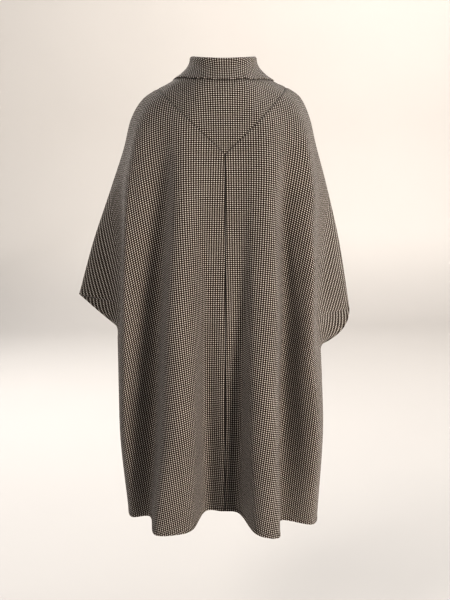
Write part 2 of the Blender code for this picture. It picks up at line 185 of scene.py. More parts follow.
# %% Points of the draft
def control_points(side, face, at):
    """Control points of the sections in at, from the centre of the face out to the side edge."""
    name = side[0]
    folds = BACK_FOLDS if face == "back" else FRONT_FOLDS
    centre_z = smooth_run(column(SECTIONS, SECTION_COLUMNS, face + "_z"), at)
    edge_z = edge_run(column(EDGES, EDGE_COLUMNS, name + "_z"), at)
    points = np.zeros((len(at), len(HEIGHT_SHARES), 3))
    points[:, 0, 1] = smooth_run(column(SECTIONS, SECTION_COLUMNS, face + "_y"), at)
    shifted = name == "right" and face == "back"
    known = column(RIGHT_SHIFTS, SHIFT_COLUMNS, "section")
    for place, label in enumerate(FOLD_COLUMNS):
        run = smooth_run(column(folds, FOLD_COLUMNS, label), at)
        if shifted:
            run = run + np.interp(at, known, column(RIGHT_SHIFTS, SHIFT_COLUMNS, label))
        points[:, 1 + place // 2, place % 2] = run * MM
    points[:, EDGE, 0] = edge_run(column(EDGES, EDGE_COLUMNS, name + "_x"), at)
    points[:, EDGE, 1] = edge_run(column(EDGES, EDGE_COLUMNS, face + "_y"), at)
    points[:, :, 2] = centre_z[:, None] + (edge_z - centre_z)[:, None] * np.array(HEIGHT_SHARES)
    points[:, BROW:FOLD + 1, 2] -= HEM_DIP * np.clip(at - HEM + 1.0, 0.0, 1.0)[:, None]
    return points


def with_ends(side, face, at):
    """Control points with one more at each end: the mirrored floor, and the other face's tuck."""
    points = control_points(side, face, at)
    other = control_points(side, "front" if face == "back" else "back", at)
    before = points[:, 1] * np.array((-1.0, 1.0, 1.0))
    straight_on = 2.0 * points[:, EDGE] - points[:, EDGE - 1]
    cuff_gap = np.linalg.norm(points[:, EDGE] - other[:, EDGE], axis=1)
    openness = np.clip(cuff_gap / CUFF_OPEN, 0.0, 1.0)[:, None]
    after = other[:, EDGE - 1] * (1.0 - openness) + straight_on * openness
    return np.concatenate((before[:, None], points, after[:, None]), axis=1)


def surface(side, face, across, along):
    """Points of the cloth's outer face. across counts control points, along counts sections."""
    points = with_ends(side, face, along)
    gaps = np.sqrt(np.linalg.norm(np.diff(points, axis=1), axis=2))[:, :, None]
    speeds = np.diff(points, axis=1) / gaps
    tangents = speeds[:, 1:] * gaps[:, :-1] + speeds[:, :-1] * gaps[:, 1:]
    tangents = tangents / (gaps[:, 1:] + gaps[:, :-1])
    rows = np.arange(len(along))
    low = np.clip(np.floor(across).astype(int), 0, EDGE - 1)
    f = (across - low)[:, None]
    start = points[rows, low + 1]
    end = points[rows, low + 2]
    bend = f * (1.0 - f) ** 2 * tangents[rows, low] - f * f * (1.0 - f) * tangents[rows, low + 1]
    result = start + f * f * (3.0 - 2.0 * f) * (end - start) + bend * gaps[rows, low + 1]
    result[:, 0] *= side[1]
    return result


def drafted(side, face, across, along):
    """The surface over a whole grid: across and along are arrays of the same rows and columns."""
    across = np.broadcast_to(across, along.shape)
    return surface(side, face, across.ravel(), along.ravel()).reshape(along.shape + (3,))


print("nape at", surface(SIDES[0], "back", np.zeros(1), np.zeros(1)).round(3))

# %% [markdown]
# ## Sewing and hanging
#
# Cloth shows how it was sewn. A pressed seam sinks a little, with the turned allowances under it
# lifting the cloth on both sides. A hem is turned and stitched, so it is a soft roll with a dent
# along the stitches. These are shaped in the mesh, because they have to catch light from every
# side. Each is a smooth function of the distance to the seam or edge, measured along the cloth.

# %% Relief beside seams and hems
WALL = 0.0024
SEAM_GAP = 0.0003
TINY = 1e-12
SEAM_DEPTH, SEAM_REACH = 0.0014, 0.0024
ALLOWANCE_LIFT, ALLOWANCE_AT, ALLOWANCE_REACH = 0.0005, 0.0085, 0.0050
HEM_WIDTH = 0.0080
HEM_LIFT = 0.0008
STITCH_DENT, STITCH_REACH = 0.0010, 0.0017
# How dark the painted shade is along the centre seam and the other seams, and how far it reaches.
CENTRE_SHADE, SEAM_SHADE, SHADE_REACH = 0.95, 0.34, 0.0014


def bell(distance, reach):
    """A smooth bump that is 1 at no distance and fades out over the reach."""
    return np.exp(-(distance / reach) ** 2)


def seam_relief(distance):
    """How far a pressed seam lies below or above the cloth."""
    lift = ALLOWANCE_LIFT * bell(distance - ALLOWANCE_AT, ALLOWANCE_REACH)
    return lift - SEAM_DEPTH * bell(distance, SEAM_REACH)


def seam_shade(distance, strength):
    """How dark the painted shade is in a seam's narrow sunk line, where shadow gathers."""
    return strength * bell(distance, SHADE_REACH)


def hem_relief(distance):
    """How far a turned hem stands out, with the dent along its stitches."""
    roll = HEM_LIFT * np.clip(1.0 - (distance / HEM_WIDTH) ** 2, 0.0, 1.0)
    return roll - STITCH_DENT * bell(distance - HEM_WIDTH, STITCH_REACH)


def run_lengths(points, axis):
    """Length along the cloth from the first row or column to each point."""
    steps = np.linalg.norm(np.diff(points, axis=axis), axis=2)
    pad = [(1, 0) if place == axis else (0, 0) for place in range(2)]
    return np.pad(np.cumsum(steps, axis=axis), pad)


def from_end(lengths, axis):
    """The same lengths, counted from the last row or column."""
    return lengths.max(axis=axis, keepdims=True) - lengths


def grid_normals(points):
    """Unit normals of a grid of points, by its rows and columns."""
    normal = np.cross(np.gradient(points, axis=1), np.gradient(points, axis=0))
    return normal / np.maximum(np.linalg.norm(normal, axis=2), TINY)[:, :, None]


print("a seam sinks", seam_relief(np.zeros(1)) * 1000, "mm")

# %% [markdown]
# Besides its big flutes, cloth that hangs from the shoulders and over the arms has a few soft
# creases. Each is drawn as a line on a face, with a trough or a ridge along it that is
# strongest a little off its middle. Cloth simulation could find such creases, but not these ones.
# Each row gives the face, the line's top and foot across and up, its height and its reach.

# %% Soft creases
SWELL_FROM, SWELL_SHARE, SWELL_POWER = 0.1, 0.8, 0.8
CREASES = (
    ("back", 205, -190, 222, -430, -4.0, 11.0),
    ("back", 176, -150, 196, -330, 2.5, 10.0),
    ("back", 286, -330, 266, -500, -2.5, 12.0),
    ("back", 228, -640, 212, -860, -3.0, 13.0),
    ("back", 62, -680, 54, -940, -2.0, 10.0),
    ("back", -182, -170, -214, -400, -4.5, 12.0),
    ("back", -150, -230, -168, -520, 2.5, 11.0),
    ("back", -264, -360, -250, -540, -2.5, 12.0),
    ("back", -200, -680, -214, -900, -3.0, 13.0),
    ("front", 196, -200, 214, -420, -4.0, 11.0),
    ("front", 150, -180, 172, -480, 2.5, 11.0),
    ("front", 214, -650, 202, -880, -3.0, 13.0),
    ("front", -190, -180, -216, -410, -4.2, 12.0),
    ("front", -146, -230, -164, -500, 2.5, 11.0),
    ("front", -206, -660, -216, -890, -3.0, 13.0),
)


def crease_relief(points, face):
    """Soft troughs and ridges along the lines that are drawn on a face."""
    relief = np.zeros(points.shape[:2])
    seen = points[:, :, (0, 2)]
    for name, x_top, z_top, x_foot, z_foot, height, reach in CREASES:
        if name == face:
            top = np.array((x_top, z_top)) * MM
            run = np.array((x_foot, z_foot)) * MM - top
            share = np.clip((seen - top) @ run / (run @ run), 0.0, 1.0)
            away = np.linalg.norm(seen - top - share[:, :, None] * run, axis=2)
            swell = np.sin(math.pi * (SWELL_FROM + SWELL_SHARE * share ** SWELL_POWER))
            relief += height * MM * swell * bell(away, reach * MM)
    return relief


print(len(CREASES), "soft creases")

# %% [markdown]
# ## From a flat grid to a hanging sheet
#
# Every piece starts as a flat grid primitive, as cloth does on the cutting table. Its vertices are
# then moved to the hanging shape. Before it gets its thickness, the sheet is unwrapped: the UV map
# is the flat cut, in metres, turned so that the grain runs down the piece's centre line. It tells
# us the size to cut, and the woven check follows it. Cloth that hangs off its grain shears like a
# trellis, so away from the centre the map's threads are then leant over: the wefts drop towards
# the sides and the warps fan out. Solidify gives the wall on the inside, and a small bevel rounds
# the raw edges.

# %% Sheets of cloth
EDGE_ROUND, EDGE_SEGMENTS, EDGE_ANGLE = 0.0009, 2, math.radians(50.0)
WEFT_DROP, WEFT_DROP_POWER = 2.42, 1.345
WARP_FAN = 0.14
SLEEVE_FROM, SLEEVE_EASE = 0.36, 0.40
PIECES, CUT = {}, {}


def lay_grid(name, points):
    """Add a flat grid with one vertex for each point, and move its vertices there."""
    rows, columns = points.shape[:2]
    bpy.ops.object.select_all(action="DESELECT")
    bpy.ops.mesh.primitive_grid_add(x_subdivisions=columns - 1, y_subdivisions=rows - 1, size=1.0)
    sheet = bpy.context.object
    sheet.name = name
    sheet.data.name = name
    sheet.data.vertices.foreach_set("co", points.reshape(-1))
    sheet.data.update()
    return sheet


def lean_threads(flat):
    """Lean the flat cut's threads as they hang, and draw the check wider on the sleeve's strip."""
    out = np.abs(flat[:, 0])
    eased = flat[:, 0] - np.sign(flat[:, 0]) * SLEEVE_EASE * np.maximum(out - SLEEVE_FROM, 0.0)
    depth = -flat[:, 1]
    drop = WEFT_DROP * out ** (WEFT_DROP_POWER + 1.0) / (WEFT_DROP_POWER + 1.0)
    fan = 1.0 + WARP_FAN * (depth - 0.5 * depth.max())
    return np.stack((eased * fan, flat[:, 1] + drop), axis=1)


def flatten(sheet, columns, middle):
    """Unwrap the sheet and turn its UV map into the flat cut, in metres. Returns its flat size."""
    bpy.ops.object.mode_set(mode="EDIT")
    bpy.ops.mesh.select_all(action="SELECT")
    bpy.ops.uv.unwrap(method="ANGLE_BASED", margin=0.0)
    bpy.ops.object.mode_set(mode="OBJECT")
    mesh = sheet.data
    layer = mesh.uv_layers.active
    layer.name = "weave"
    corner = np.empty(len(mesh.loops), dtype=int)
    mesh.loops.foreach_get("vertex_index", corner)
    flat = np.empty(2 * len(corner))
    layer.data.foreach_get("uv", flat)
    flat = flat.reshape(-1, 2)
    quad = flat.reshape(-1, 4, 2)
    one, two = quad[:, 2] - quad[:, 0], quad[:, 3] - quad[:, 1]
    flat_area = 0.5 * (one[:, 0] * two[:, 1] - one[:, 1] * two[:, 0]).sum()
    cloth_area = sum(face.area for face in mesh.polygons)
    flat[:, 0] *= math.copysign(1.0, flat_area)
    place = np.empty((len(mesh.vertices), 2))
    place[corner] = flat
    grain = place[len(place) - columns + middle] - place[middle]
    grain = grain / np.linalg.norm(grain)
    turn = np.array(((-grain[1], grain[0]), (-grain[0], -grain[1])))
    flat = (flat - place[middle]) @ turn.T * math.sqrt(cloth_area / abs(flat_area))
    layer.data.foreach_set("uv", lean_threads(flat).reshape(-1))
    size = flat.max(axis=0) - flat.min(axis=0)
    return float(size[0]), float(size[1]), float(cloth_area)


def band_size(points):
    """Flat size of a narrow band: its length along the middle row, and its mean width."""
    length = float(run_lengths(points, 1)[len(points) // 2, -1])
    width = float(run_lengths(points, 0)[-1].mean())
    return length, width, length * width


def thicken(sheet, wall):
    """Give the sheet its wall on the inside, round its edges, and apply both modifiers."""
    solid = sheet.modifiers.new("wall", "SOLIDIFY")
    solid.thickness = wall
    solid.offset = -1.0
    rounded = sheet.modifiers.new("rounded edge", "BEVEL")
    rounded.width = EDGE_ROUND
    rounded.segments = EDGE_SEGMENTS
    rounded.limit_method = "ANGLE"
    rounded.angle_limit = EDGE_ANGLE
    for modifier in ("wall", "rounded edge"):
        bpy.ops.object.modifier_apply(modifier=modifier)
    bpy.ops.object.shade_smooth()


def sew(node, points, painted_seam_shade, middle, turned):
    """Make the cloth that stands for a node, from its outer points. turned reverses the columns."""
    columns = points.shape[1]
    if turned:
        points, painted_seam_shade = points[:, ::-1], painted_seam_shade[:, ::-1]
        middle = columns - 1 - middle
    sheet = lay_grid(node + "_cloth", np.ascontiguousarray(points))
    # The sheet keeps the painted shade of its seams, which darkens the wool's colour there.
    shade = sheet.data.attributes.new("painted_seam_shade", "FLOAT", "POINT")
    shade.data.foreach_set("value", np.ascontiguousarray(painted_seam_shade).reshape(-1))
    CUT[node] = flatten(sheet, columns, middle)
    thicken(sheet, WALL)
    PIECES[node] = sheet
    print(node, len(sheet.data.polygons), "faces, cut", [round(size, 3) for size in CUT[node]])


# %% [markdown]
# ## The two backs
#
# Each lower back hangs from the V seam to the hem, and takes the back of the wide sleeve with it.
# Its columns crowd together at the centre seam and at the side edge, and its rows at the V seam
# and the hem, where the sewing needs a fine grid. The V seam is found by halving: for each column,
# the section where the cloth crosses the line of the V.

# %% Columns and rows of the backs
YOKE_POINT_Z = -0.166
YOKE_RISE = 0.95
HALVINGS = 40
CROWDING = 1.7
BACK_SPANS = (12, 8, 8, 8, 12, 18, 8, 16)
FRONT_SPANS = (10, 8, 8, 8, 12, 16, 8, 16)
HEM_STEPS = np.array((0.060, 0.050, 0.042, 0.037, 0.033, 0.029, 0.024, 0.018, 0.012, 0.006, 0.0))
HEM_FROM = 0.072
SEAM_SECTION, SEAM_CROWDING = 2.7, 1.5
UPPER_COUNT, ARM_COUNT, SKIRT_COUNT = 44, 73, 72
UPPER_SHARES = np.linspace(0.0, 1.0, UPPER_COUNT)[:-1] ** SEAM_CROWDING
LOWER_ROWS = np.concatenate((
    SEAM_SECTION + (STRAIGHT_FROM - SEAM_SECTION) * UPPER_SHARES,
    np.linspace(STRAIGHT_FROM, UNDERARM, ARM_COUNT)[:-1],
    np.linspace(UNDERARM, HEM - HEM_FROM, SKIRT_COUNT),
    HEM - HEM_STEPS,
))


def columns_of(spans):
    """Places across a face, crowded at the centre and at the side edge."""
    places = []
    for index, count in enumerate(spans):
        step = np.arange(count) / count
        if index == 0:
            step = step ** CROWDING
        if index == EDGE - 1:
            step = 1.0 - (1.0 - step) ** CROWDING
        places.append(index + step)
    return np.concatenate(places + [np.array([float(EDGE)])])


def yoke_line(side, across):
    """The sections at which the V seam crosses the given places across the back."""
    low = np.zeros(len(across))
    high = np.full(len(across), float(STRAIGHT_FROM))
    for _ in range(HALVINGS):
        middle = 0.5 * (low + high)
        point = surface(side, "back", across, middle)
        above_seam = point[:, 2] > YOKE_POINT_Z + YOKE_RISE * np.abs(point[:, 0])
        low = np.where(above_seam, middle, low)
        high = np.where(above_seam, high, middle)
    return 0.5 * (low + high)


def lower_rows(seam):
    """Sections of the rows below the V seam, one list for each column, starting at the seam."""
    share = (STRAIGHT_FROM - LOWER_ROWS) / (STRAIGHT_FROM - LOWER_ROWS[0])
    share = np.clip(share, 0.0, 1.0)
    return LOWER_ROWS[:, None] + (seam[None, :] - LOWER_ROWS[0]) * share[:, None]


print(len(columns_of(BACK_SPANS)), "columns,", len(LOWER_ROWS), "rows in each back")


# %% Hang the backs
STITCHED = []


def beside_edge(points, axis):
    """The line that runs a hem's width inside the last row or column of a sheet."""
    if axis == 1:
        points = points.transpose(1, 0, 2)
    to_edge = from_end(run_lengths(points, 0), 0)
    return np.array([[np.interp(HEM_WIDTH, to_edge[::-1, place], points[::-1, place, part])
                      for part in range(3)] for place in range(points.shape[1])])


def edge_distance(points, along):
    """Distances from the side edge, and where that edge is the open cuff."""
    reach = from_end(run_lengths(points, 1), 1)
    on_cuff = (along > CORNER) & (along < UNDERARM)
    return reach, on_cuff


def back_points(side):
    """Outer points of a lower back, with its sewn edges and the painted shade of its seams."""
    across = columns_of(BACK_SPANS)
    along = lower_rows(yoke_line(side, across))
    points = drafted(side, "back", across, along)
    outward = grid_normals(points) * side[1]
    down, out = run_lengths(points, 0), run_lengths(points, 1)
    reach, on_cuff = edge_distance(points, along)
    relief = seam_relief(down) + seam_relief(out) + hem_relief(from_end(down, 0))
    relief = relief + crease_relief(points, "back")
    relief = relief + np.where(on_cuff, hem_relief(reach), seam_relief(reach))
    points = points + outward * relief[:, :, None]
    points[:, 0, 0] = 0.0
    STITCHED.extend((beside_edge(points, 0), beside_edge(points, 1)[on_cuff[:, -1]]))
    # Painted shade darkens the colour along the centre seam, the V seam and the side seam, but not
    # at the open cuff.
    painted_seam_shade = seam_shade(out, CENTRE_SHADE) + seam_shade(down, SEAM_SHADE)
    painted_seam_shade = painted_seam_shade + np.where(on_cuff, 0.0, seam_shade(reach, SEAM_SHADE))
    return points, np.minimum(painted_seam_shade, 1.0)


for each_side in SIDES:
    sew("back_" + each_side[0], *back_points(each_side), 0, each_side[1] < 0.0)

# %% [markdown]
# ## The yoke
#
# The yoke lies over both shoulders in one piece, so its grid runs from one shoulder over the centre
# back to the other. Its lower edge is the same V seam, sunk in the same way.

# %% Lay the yoke
YOKE_COUNT, YOKE_CROWDING = 40, 1.4
YOKE_ROWS = 1.0 - (1.0 - np.linspace(0.0, 1.0, YOKE_COUNT)) ** YOKE_CROWDING


def yoke_points(side):
    """Outer points of one half of the yoke, centre back to shoulder, and its painted seam shade."""
    across = columns_of(BACK_SPANS)
    along = YOKE_ROWS[:, None] * yoke_line(side, across)[None, :]
    points = drafted(side, "back", across, along)
    outward = grid_normals(points) * side[1]
    to_seam = from_end(run_lengths(points, 0), 0)
    to_shoulder = from_end(run_lengths(points, 1), 1)
    relief = seam_relief(to_seam) + seam_relief(to_shoulder) + crease_relief(points, "back")
    points = points + outward * relief[:, :, None]
    points[-1, :, 2] += SEAM_GAP
    # Painted shade darkens the colour along the V seam and the shoulder seam.
    painted_seam_shade = seam_shade(to_seam, SEAM_SHADE) + seam_shade(to_shoulder, SEAM_SHADE)
    return points, np.minimum(painted_seam_shade, 1.0)


left_half, right_half = (yoke_points(side) for side in SIDES)
whole_yoke = [np.concatenate((b[:, ::-1], a[:, 1:]), axis=1) for a, b in zip(left_half, right_half)]
sew("back_yoke", *whole_yoke, len(columns_of(BACK_SPANS)) - 1, False)

# %% [markdown]
# ## The two fronts
#
# The fronts mirror the backs in a plainer form. They lap at the centre: the right one lies over the
# left, which steps in behind it by a wall and a little air.

# %% Hang the fronts
LAP = 0.020
LAP_GAP = 0.0012
LAP_COUNT, LAP_CROWDING = 9, 1.4
LAP_SHARES = 1.0 - np.linspace(0.0, 1.0, LAP_COUNT)[:-1] ** LAP_CROWDING


def front_rows(side):
    """Sections of the front's rows: at the side edge they meet those of the yoke and the back."""
    seam = yoke_line(side, np.array([float(EDGE)]))
    return np.concatenate((YOKE_ROWS[:-1] * seam[0], lower_rows(seam)[:, 0]))


def front_points(side, other, inside):
    """Outer points of a front that runs past the centre by the lap, and its painted seam shade."""
    across = columns_of(FRONT_SPANS)
    rows = front_rows(side)
    along = np.repeat(rows[:, None], len(across), axis=1)
    points = drafted(side, "front", across, along)
    floor_x = smooth_run(column(FRONT_FOLDS, FOLD_COLUMNS, "floor_x"), rows) * MM
    lap_across = (LAP / floor_x)[:, None] * LAP_SHARES
    lap = drafted(other, "front", lap_across, along[:, :len(LAP_SHARES)])
    points = np.concatenate((lap, points), axis=1)
    along = np.repeat(rows[:, None], points.shape[1], axis=1)
    outward = grid_normals(points) * -side[1]
    down, out = run_lengths(points, 0), run_lengths(points, 1)
    reach, on_cuff = edge_distance(points, along)
    relief = hem_relief(from_end(down, 0)) + hem_relief(out) + crease_relief(points, "front")
    relief = relief + np.where(on_cuff, hem_relief(reach), seam_relief(reach))
    if inside:
        step_in = np.concatenate((np.ones(len(LAP_SHARES)), np.clip(CREST - across, 0.0, 1.0)))
        relief = relief - (WALL + LAP_GAP + 2.0 * HEM_LIFT) * step_in
    points = points + outward * relief[:, :, None]
    STITCHED.extend((beside_edge(points, 0), beside_edge(points, 1)[on_cuff[:, -1]],
                     beside_edge(points[:, ::-1], 1)))
    # Painted shade darkens the colour along the side seam, but not at the open cuff.
    return points, np.where(on_cuff, 0.0, seam_shade(reach, SEAM_SHADE))


left_side, right_side = SIDES
sew("front_left", *front_points(left_side, right_side, True), len(LAP_SHARES), True)
sew("front_right", *front_points(right_side, left_side, False), len(LAP_SHARES), False)

# %% [markdown]
# ## The collar
#
# A turned-down collar has two parts. The stand is a band on the neckline, and the fall is sewn to
# its top, rolls over it and lies on the shoulders. Both are grids that follow the neckline, with
# the roll drawn as a half circle and the fall as a short curve down to the cloth. The fall's edge
# is placed by the sections that it reaches, and lifted a little off the cloth there.

# %% Rings round the neck
STAND_HEIGHT, STAND_ROWS = 0.026, 9
STAND_LEAN, SIDE_LEAN = 0.012, 0.005
END_ACROSS = 0.2
ROLL_RADIUS, ROLL_STEPS, FALL_STEPS = 0.0062, 12, 16
BACK_DROP, SIDE_DROP = 0.35, 0.50
BACK_CURVE = 3.6
POINT_ACROSS = 0.8
BACK_FALL, LEFT_FALL, RIGHT_FALL, FRONT_FALL = 0.58, 1.38, 1.85, 1.60
BACK_LIFT, SIDE_LIFT, FRONT_LIFT = 0.0075, 0.0036, 0.010
SMALL_STEP, SAME_PLACE = 0.02, 1e-6
UP = np.array((0.0, 0.0, 1.0))


def facing_out(side, face, across, along):
    """Unit outward normals of the drafted surface."""
    ahead = surface(side, face, np.minimum(across + SMALL_STEP, EDGE), along)
    behind = surface(side, face, np.maximum(across - SMALL_STEP, 0.0), along)
    below = surface(side, face, across, along + SMALL_STEP)
    above = surface(side, face, across, np.maximum(along - SMALL_STEP, 0.0))
    normal = np.cross(ahead - behind, below - above) * side[1] * (1.0 if face == "back" else -1.0)
    return normal / np.linalg.norm(normal, axis=1)[:, None]


def round_neck(back_section, left_section, right_section, front_section, front):
    """Points and normals round the neck, from the left front over the back to the right front."""
    back = columns_of(BACK_SPANS)
    runs = []
    for side, side_section in zip(SIDES, (left_section, right_section)):
        back_along = back_section + (side_section - back_section) * (back / EDGE) ** BACK_CURVE
        front_along = front_section + (side_section - front_section) * (front / EDGE) ** 2
        points = np.concatenate((surface(side, "back", back, back_along),
                                 surface(side, "front", front, front_along)[-2::-1]))
        facing = np.concatenate((facing_out(side, "back", back, back_along),
                                 facing_out(side, "front", front, front_along)[-2::-1]))
        runs.append((points, facing))
    left, right = runs
    return [np.concatenate((a[::-1], b[1:])) for a, b in zip(left, right)]


# %% Fold the collar over its stand
def stand_and_fall():
    """Grids of the stand and of the fall, a row for each step away from the neckline."""
    ring, _ = round_neck(0.0, 0.0, 0.0, 0.0, np.maximum(columns_of(FRONT_SPANS), END_ACROSS))
    keep = np.concatenate(([True], np.linalg.norm(np.diff(ring, axis=0), axis=1) > SAME_PLACE))
    run = np.gradient(ring[keep], axis=0)
    outward = np.stack((run[:, 1], -run[:, 0], np.zeros(len(run))), axis=1)
    outward = outward / np.linalg.norm(outward, axis=1)[:, None]
    foot = ring[keep] + UP * SEAM_GAP
    top = foot + UP * STAND_HEIGHT - outward * (STAND_LEAN + SIDE_LEAN * outward[:, :1])
    stand = [foot + (top - foot) * share for share in np.linspace(0.0, 1.0, STAND_ROWS)]
    centre = top + UP * SEAM_GAP + outward * (ROLL_RADIUS - WALL)
    fall = []
    for angle in np.linspace(math.pi, 0.0, ROLL_STEPS + 1):
        fall.append(centre + (outward * math.cos(angle) + UP * math.sin(angle)) * ROLL_RADIUS)
    begin = fall[-1]
    front = POINT_ACROSS + columns_of(FRONT_SPANS) * (1.0 - POINT_ACROSS / EDGE)
    end, facing = round_neck(BACK_FALL, LEFT_FALL, RIGHT_FALL, FRONT_FALL, front)
    sideways = np.abs(facing[:, :1]) / np.hypot(facing[:, :1], facing[:, 1:2])
    middle_lift = np.where(end[:, 1:2] > 0.0, BACK_LIFT, FRONT_LIFT)
    end = (end + facing * (middle_lift + (SIDE_LIFT - middle_lift) * sideways))[keep]
    drop = BACK_DROP + (SIDE_DROP - BACK_DROP) * sideways[keep]
    bend = begin + UP * (end[:, 2:] - begin[:, 2:]) * drop
    for share in np.linspace(0.0, 1.0, FALL_STEPS + 1)[1:]:
        fall.append(begin * (1 - share) ** 2 + bend * 2 * share * (1 - share) + end * share ** 2)
    return np.stack(stand), np.stack(fall)


STAND_POINTS, FALL_POINTS = stand_and_fall()
neck_middle = STAND_POINTS.shape[1] // 2
for node, points, rows in (("collar_stand", STAND_POINTS, -1), ("collar_fall", FALL_POINTS, 1)):
    sew(node, points[::rows], np.zeros(points.shape[:2]), neck_middle, True)
    CUT[node] = band_size(points)
    print(node, "is a band of", [round(size, 3) for size in CUT[node]])
STITCHED.append(beside_edge(FALL_POINTS, 0))

# %% [markdown]
# ## Stitches
#
# The hems, cuffs, front edges and collar edge are turned in and caught down by a row of small
# stitches, which lie in the dent that was shaped for them. One stitch is a thin rounded spindle.
# Array repeats it and Curve bends the row along the cloth, which is quicker than placing hundreds
# by hand, and each stitch stays a real shape that catches the light.

# %% Stitch the edges
STITCH_LENGTH, STITCH_STEP, STITCH_THICK = 0.0034, 0.0062, 0.0008
STITCH_SIDES, STITCH_RINGS = 6, 4


def stitch_row(name, line):
    """A row of stitches along a line of points."""
    drawn = bpy.data.curves.new(name + "_path", "CURVE")
    drawn.dimensions = "3D"
    spline = drawn.splines.new("POLY")
    spline.points.add(len(line) - 1)
    spline.points.foreach_set("co", np.column_stack((line, np.ones(len(line)))).reshape(-1))
    path = bpy.data.objects.new(name + "_path", drawn)
    bpy.context.collection.objects.link(path)
    bpy.ops.object.select_all(action="DESELECT")
    bpy.ops.mesh.primitive_uv_sphere_add(segments=STITCH_SIDES, ring_count=STITCH_RINGS, radius=0.5)
    row = bpy.context.object
    row.name = name
    row.scale = (STITCH_LENGTH, STITCH_THICK, STITCH_THICK)
    bpy.ops.object.transform_apply(scale=True)
    repeat = row.modifiers.new("repeat", "ARRAY")
    repeat.fit_type = "FIT_CURVE"
    repeat.curve = path
    repeat.use_relative_offset = False
    repeat.use_constant_offset = True
    repeat.constant_offset_displace = (STITCH_STEP, 0.0, 0.0)
    bend = row.modifiers.new("bend", "CURVE")
    bend.object = path
    for modifier in ("repeat", "bend"):
        bpy.ops.object.modifier_apply(modifier=modifier)
    bpy.ops.object.shade_smooth()
    bpy.data.curves.remove(drawn)
    return row


stitch_rows = [stitch_row("stitches_%d" % index, line) for index, line in enumerate(STITCHED)]
bpy.ops.object.select_all(action="DESELECT")
for row in stitch_rows:
    row.select_set(True)
bpy.context.view_layer.objects.active = stitch_rows[0]
bpy.ops.object.join()
STITCHES = bpy.context.object
STITCHES.name = "stitches"
print(len(stitch_rows), "rows of stitches,", len(STITCHES.data.polygons), "faces")

# %% [markdown]
# ## The woven check
#
# A dogtooth check is a two-and-two twill: a band of dark threads and a band of light ones each way,
# and each thread passes over two and under two. Where a warp thread is on top its colour shows, and
# elsewhere the weft's does, which makes the broken, toothed squares. The dark bands here are a
# little wider, and where light crosses dark the dark wool shows through. The shader weaves just
# that from the flat cut, so the check bends with the cloth. A painted image could not stay sharp
# at every distance. Along the seams the colour is darkened by painted shade.


# %% Sums of shader sockets
class Strand:
    """A shader socket that takes part in sums, and adds the nodes that work them out."""

    def __init__(self, tree, socket=None):
        self.tree = tree
        self.socket = socket

    def node(self, kind, settings, inputs, output=0):
        """Add any node: its settings first, then the values or links of its sockets."""
        made = self.tree.nodes.new(kind)
        for name, value in settings.items():
            setattr(made, name, value)
        for name, value in inputs.items():
            if isinstance(value, Strand):
                self.tree.links.new(value.socket, made.inputs[name])
            else:
                made.inputs[name].default_value = value
        return Strand(self.tree, made.outputs[output])

    def sum(self, operation, first, second=0.0):
        """Add one Math node."""
        return self.node("ShaderNodeMath", {"operation": operation}, {0: first, 1: second})

    def __add__(self, other):
        return self.sum("ADD", self, other)

    def __radd__(self, other):
        return self.sum("ADD", other, self)

    def __sub__(self, other):
        return self.sum("SUBTRACT", self, other)

    def __rsub__(self, other):
        return self.sum("SUBTRACT", other, self)

    def __mul__(self, other):
        return self.sum("MULTIPLY", self, other)

    def __rmul__(self, other):
        return self.sum("MULTIPLY", other, self)

    def __mod__(self, other):
        return self.sum("FLOORED_MODULO", self, other)

    def __lt__(self, other):
        return self.sum("LESS_THAN", self, other)

    def __gt__(self, other):
        return self.sum("GREATER_THAN", self, other)


# %% Weave the wool
CHECK_WIDE, CHECK_HIGH = 0.0054, 0.0048
THREADS, DARK_THREADS, TWILL = 8, 5, 2.0
DARK_WOOL = (0.0095, 0.0055, 0.0030, 1.0)
MIXED_WOOL = (0.208, 0.174, 0.145, 1.0)
LIGHT_WOOL = (0.490, 0.470, 0.452, 1.0)
NAP_SCALE, NAP_DETAIL, NAP_WANDER = 700.0, 2.0, 0.5
CLOUD_SCALE, CLOUD_DETAIL = 9.0, 3.0
SHADE, CLOUD_SHADE, NAP_SHADE = 0.80, 0.25, 0.15
NAP_HEIGHT, BUMP_STRENGTH, BUMP_DEPTH = 0.6, 0.5, 0.0003
WOOL_ROUGH, NAP_ROUGH = 0.86, 0.12
SHEEN, SHEEN_ROUGH, SHINE = 0.12, 0.6, 0.2


def blend(strand, share, first, second):
    """Mix two colours by a share."""
    return strand.node("ShaderNodeMix", {"data_type": "RGBA"}, {0: share, 6: first, 7: second}, 2)


def noise(strand, place, scale, detail):
    """Soft noise at a place, with a scale and an amount of detail."""
    inputs = {"Vector": place, "Scale": scale, "Detail": detail}
    return strand.node("ShaderNodeTexNoise", {}, inputs)


def thread_round(place):
    """The rounded height of threads that lie side by side, one to each whole number."""
    from_middle = (place % 1.0) * 2.0 - 1.0
    return 1.0 - from_middle * from_middle


